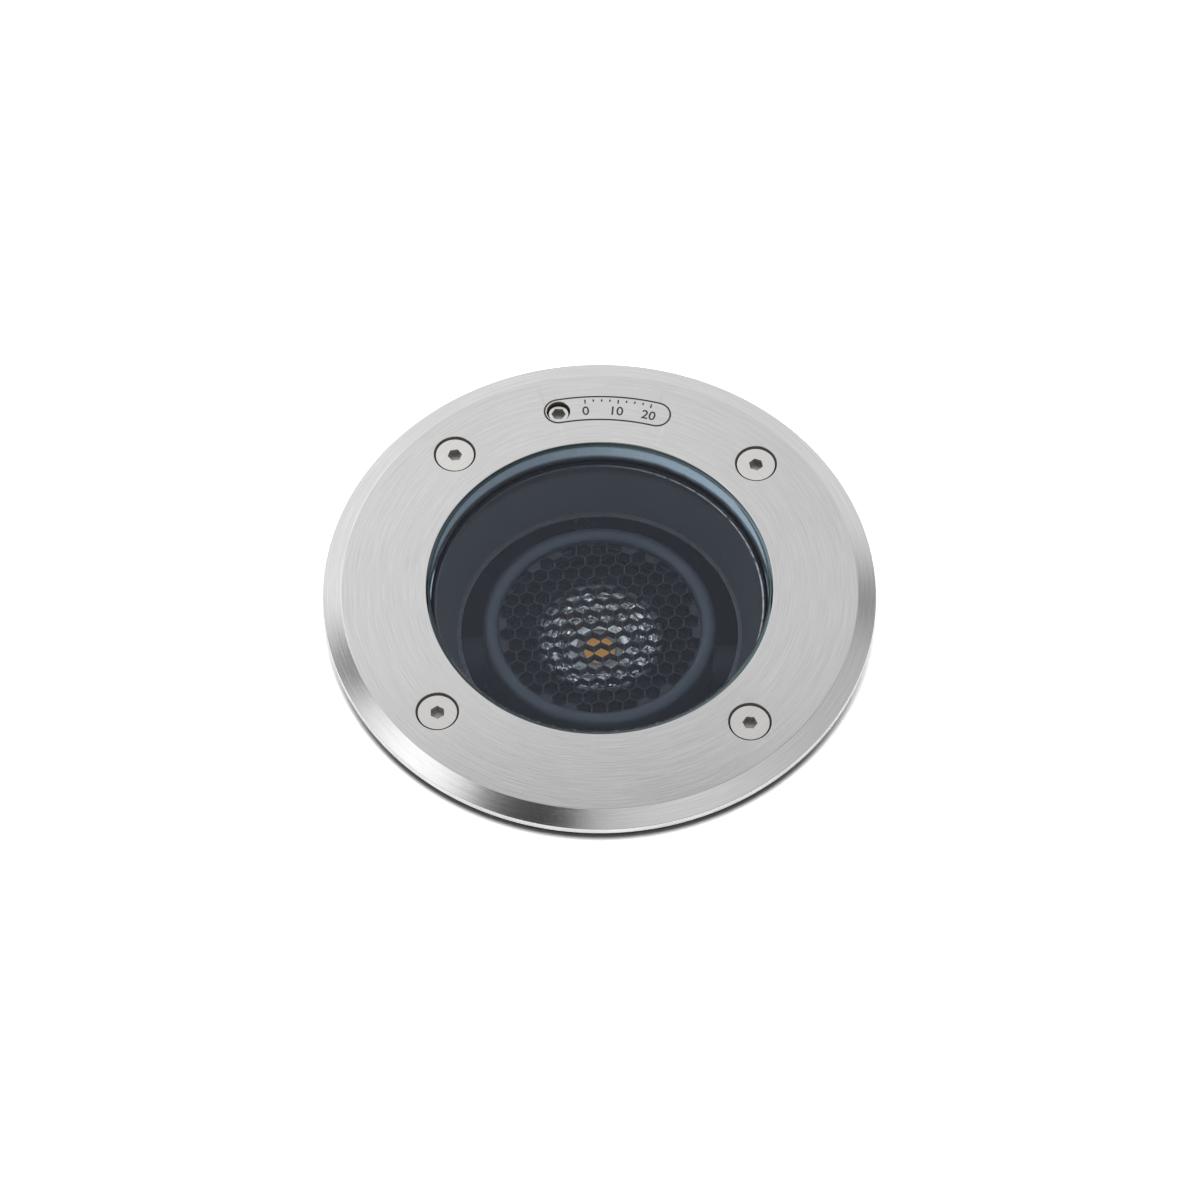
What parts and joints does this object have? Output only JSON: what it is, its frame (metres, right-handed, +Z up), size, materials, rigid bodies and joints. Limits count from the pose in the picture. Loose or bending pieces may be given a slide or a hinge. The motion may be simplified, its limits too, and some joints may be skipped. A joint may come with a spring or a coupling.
{
  "type": "in ground well light",
  "caption": "Round in-ground uplight: brushed steel trim ring over a thick glass window, a tilting lamp head with honeycomb louver, cast housing, cable gland and screwed base.",
  "frame": {"origin": "on the axis of the light, on the ground plane: the underside of the trim ring", "axes": "+Z up out of the ground along the light's axis, +Y towards the adjuster in the trim ring, +X towards the cable gland"},
  "size_m": [0.17, 0.17, 0.1545],
  "materials": {
    "brushed_stainless": "fine circular brushing",
    "screw_steel": "turned stainless steel",
    "black_rubber": "smooth moulded rubber",
    "clear_glass": "polished toughened glass",
    "cup_finish": "matt black powder coat",
    "housing_paint": "fine textured graphite powder coat over a die casting",
    "lamp_black": "black anodised turned aluminium",
    "louver_foil": "dark anodised foil",
    "reflector_metal": "hammered bright aluminium",
    "white_plastic": "satin moulded plastic",
    "pad_grey": "soft gap pad",
    "board_ceramic": "white coated board",
    "phosphor": "orange yellow silicone with phosphor",
    "plated_steel": "zinc plated sheet",
    "bronze": "turned bronze",
    "driver_case": "potted case",
    "nickel_plate": "satin nickel plate on brass",
    "black_plastic": "glass filled nylon"
  },
  "bodies": {
    "fixed_housing": {"trim_ring": "brushed_stainless", "cover_screws": "screw_steel", "ring_gasket": "black_rubber", "glass_lens": "clear_glass", "glass_seal": "black_rubber", "baffle_cup": "cup_finish", "housing": "housing_paint", "pivot_brackets": "plated_steel", "pivot_bushes": "bronze", "bracket_screws": "screw_steel", "spindle_bush": "bronze", "spindle_seal": "black_rubber", "guide_bracket": "plated_steel", "guide_screws": "screw_steel", "base_cover": "housing_paint", "base_seal": "black_rubber", "base_screws": "screw_steel", "led_driver": "driver_case", "driver_screws": "screw_steel", "earth_screw": "bronze", "terminal_block": "white_plastic", "terminal_screws": "screw_steel", "gland_body": "nickel_plate", "gland_washer": "black_rubber", "gland_nut": "nickel_plate", "gland_seal": "black_rubber", "vent_plug": "black_plastic"},
    "lamp_head": {"lamp_bezel": "lamp_black", "honeycomb_louver": "louver_foil", "lamp_housing": "lamp_black", "reflector": "reflector_metal", "led_holder": "white_plastic", "thermal_pad": "pad_grey", "led_board": "board_ceramic", "led_phosphor": "phosphor", "pivot_pins": "screw_steel", "pivot_clips": "screw_steel", "tilt_arm": "plated_steel", "arm_screws": "screw_steel"},
    "spindle": {"adjusting_spindle": "screw_steel", "spindle_clip": "screw_steel"},
    "nut": {"nut_block": "bronze", "drive_pin": "screw_steel"}
  },
  "joints": [
    {"name": "head_tilt", "type": "hinge", "parent": "fixed_housing", "child": "lamp_head", "pos_m": [0, 0, -0.0473], "axis": [1, 0, 0], "range_deg": [0, 20]},
    {"name": "nut_travel", "type": "slide", "parent": "fixed_housing", "child": "nut", "axis": [0, 0, 1], "range_m": [0, 0.02283]},
    {"name": "spindle_turn", "type": "hinge", "parent": "fixed_housing", "child": "spindle", "pos_m": [-0.01539, 0.06459, 0], "axis": [0, 0, 1], "range_deg": [0, 2051.1]}
  ],
  "couplings": [
    {"joint": "nut_travel", "follows": "head_tilt", "m_per_rad": 0.065256},
    {"joint": "spindle_turn", "follows": "head_tilt", "ratio": 102.5}
  ]
}
